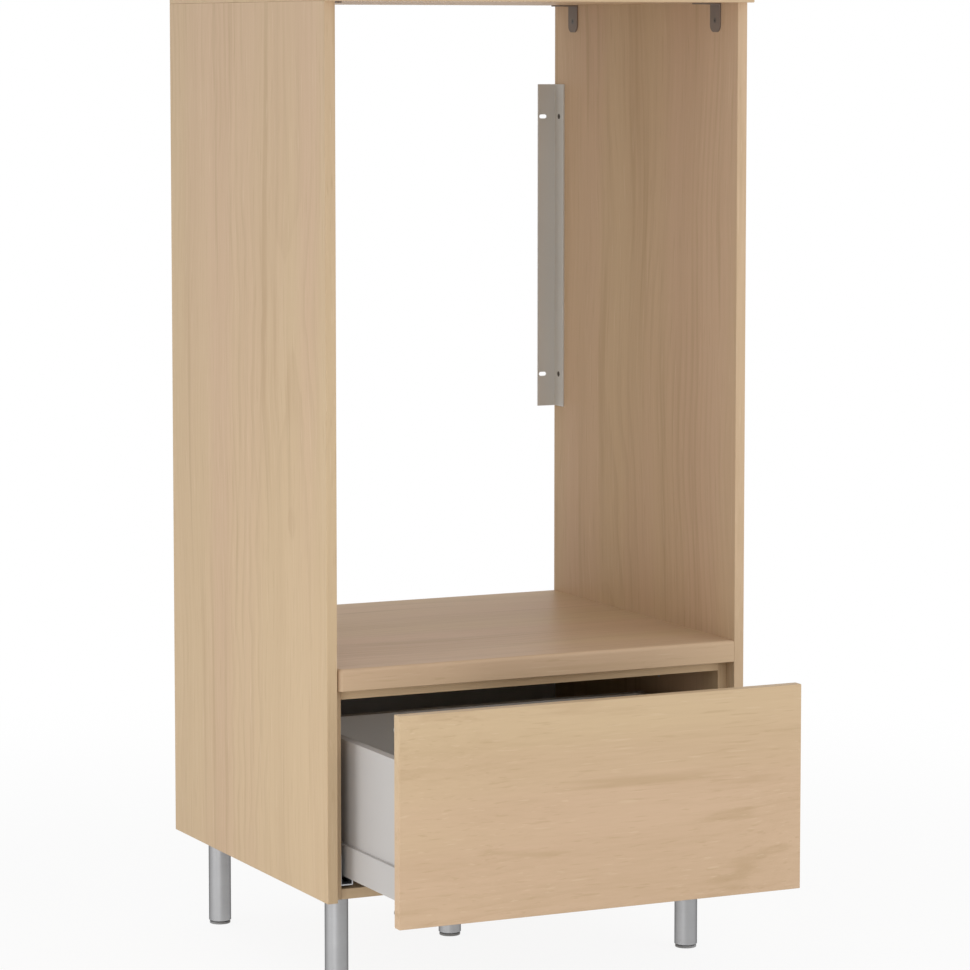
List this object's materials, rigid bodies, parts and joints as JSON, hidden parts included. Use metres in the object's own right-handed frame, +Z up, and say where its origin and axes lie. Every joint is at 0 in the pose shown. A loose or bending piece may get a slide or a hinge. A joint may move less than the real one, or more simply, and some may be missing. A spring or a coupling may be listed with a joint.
{
  "type": "washing machine cabinet",
  "caption": "Tall open cabinet that holds a washing machine on a raised shelf, with a deep drawer below, on round metal legs.",
  "frame": {"origin": "on the floor under the centre leg's foot, midway between the side panels", "axes": "+X to the right seen from the front, +Y to the back, towards the wall, +Z up"},
  "size_m": [0.63, 0.7515, 1.356],
  "materials": {
    "oak_laminate": "fine grain laminate, satin",
    "grey_board": "grey melamine, satin",
    "grey_steel": "powder coat, satin",
    "zinc_steel": "zinc plated, satin",
    "angle_steel": "grey coat, satin",
    "leg_steel": "brushed",
    "foot_plastic": "moulded",
    "roller_plastic": "moulded",
    "bumper_rubber": "soft clear rubber",
    "beech_dowel": "fluted beech"
  },
  "bodies": {
    "cabinet": {"side_panel_left": "oak_laminate", "side_panel_right": "oak_laminate", "top_board": "oak_laminate", "top_board_dowels": "beech_dowel", "appliance_shelf": "oak_laminate", "carcass_side_left": "oak_laminate", "carcass_side_right": "oak_laminate", "carcass_top": "oak_laminate", "carcass_bottom": "oak_laminate", "carcass_back": "grey_board", "carcass_screws": "zinc_steel", "carcass_dowels": "beech_dowel", "joining_screws": "zinc_steel", "bracket_screws": "zinc_steel", "wall_angle_left": "angle_steel", "wall_angle_right": "angle_steel", "top_angle_front_left": "angle_steel", "top_angle_front_right": "angle_steel", "top_angle_back_left": "angle_steel", "top_angle_back_right": "angle_steel", "leg_front_left": "leg_steel", "leg_front_right": "leg_steel", "leg_back_left": "leg_steel", "leg_back_right": "leg_steel", "leg_centre": "leg_steel", "leg_bolts": "zinc_steel", "insert_nuts": "zinc_steel", "leg_plugs": "foot_plastic", "cabinet_rail_left": "zinc_steel", "cabinet_rail_right": "zinc_steel", "runner_screws": "zinc_steel"},
    "drawer": {"drawer_front": "oak_laminate", "drawer_bottom": "grey_board", "drawer_back": "grey_board", "drawer_side_left": "grey_steel", "drawer_side_right": "grey_steel", "drawer_front_bracket_left": "zinc_steel", "drawer_front_bracket_right": "zinc_steel", "drawer_back_bracket_left": "zinc_steel", "drawer_back_bracket_right": "zinc_steel", "drawer_screws": "zinc_steel", "drawer_bumpers": "bumper_rubber", "drawer_rail_left": "zinc_steel", "drawer_rail_right": "zinc_steel"},
    "middle_left": {"middle_rail_left": "zinc_steel"},
    "lower_cage_left": {"lower_cage_left": "zinc_steel", "lower_rollers_left": "roller_plastic"},
    "upper_cage_left": {"upper_cage_left": "zinc_steel", "upper_rollers_left": "roller_plastic"},
    "middle_right": {"middle_rail_right": "zinc_steel"},
    "lower_cage_right": {"lower_cage_right": "zinc_steel", "lower_rollers_right": "roller_plastic"},
    "upper_cage_right": {"upper_cage_right": "zinc_steel", "upper_rollers_right": "roller_plastic"},
    "foot_front_left": {"foot_front_left": "foot_plastic"},
    "foot_front_right": {"foot_front_right": "foot_plastic"},
    "foot_back_left": {"foot_back_left": "foot_plastic"},
    "foot_back_right": {"foot_back_right": "foot_plastic"},
    "foot_centre": {"foot_centre": "foot_plastic"}
  },
  "joints": [
    {"name": "drawer_slide", "type": "slide", "parent": "cabinet", "child": "drawer", "axis": [0, -1, 0], "range_m": [-0.1945, 0.1905]},
    {"name": "middle_left_slide", "type": "slide", "parent": "cabinet", "child": "middle_left", "axis": [0, -1, 0], "range_m": [-0.0973, 0.0953]},
    {"name": "lower_cage_left_slide", "type": "slide", "parent": "cabinet", "child": "lower_cage_left", "axis": [0, -1, 0], "range_m": [-0.0487, 0.0477]},
    {"name": "upper_cage_left_slide", "type": "slide", "parent": "cabinet", "child": "upper_cage_left", "axis": [0, -1, 0], "range_m": [-0.146, 0.143]},
    {"name": "middle_right_slide", "type": "slide", "parent": "cabinet", "child": "middle_right", "axis": [0, -1, 0], "range_m": [-0.0973, 0.0953]},
    {"name": "lower_cage_right_slide", "type": "slide", "parent": "cabinet", "child": "lower_cage_right", "axis": [0, -1, 0], "range_m": [-0.0487, 0.0477]},
    {"name": "upper_cage_right_slide", "type": "slide", "parent": "cabinet", "child": "upper_cage_right", "axis": [0, -1, 0], "range_m": [-0.146, 0.143]},
    {"name": "foot_front_left_screw", "type": "slide", "parent": "cabinet", "child": "foot_front_left", "axis": [0, 0, -1], "range_m": [0, 0.015]},
    {"name": "foot_front_right_screw", "type": "slide", "parent": "cabinet", "child": "foot_front_right", "axis": [0, 0, -1], "range_m": [0, 0.015]},
    {"name": "foot_back_left_screw", "type": "slide", "parent": "cabinet", "child": "foot_back_left", "axis": [0, 0, -1], "range_m": [0, 0.015]},
    {"name": "foot_back_right_screw", "type": "slide", "parent": "cabinet", "child": "foot_back_right", "axis": [0, 0, -1], "range_m": [0, 0.015]},
    {"name": "foot_centre_screw", "type": "slide", "parent": "cabinet", "child": "foot_centre", "axis": [0, 0, -1], "range_m": [0, 0.015]}
  ],
  "couplings": [
    {"joint": "middle_left_slide", "follows": "drawer_slide", "ratio": 0.5},
    {"joint": "lower_cage_left_slide", "follows": "drawer_slide", "ratio": 0.25},
    {"joint": "upper_cage_left_slide", "follows": "drawer_slide", "ratio": 0.75},
    {"joint": "middle_right_slide", "follows": "drawer_slide", "ratio": 0.5},
    {"joint": "lower_cage_right_slide", "follows": "drawer_slide", "ratio": 0.25},
    {"joint": "upper_cage_right_slide", "follows": "drawer_slide", "ratio": 0.75}
  ]
}
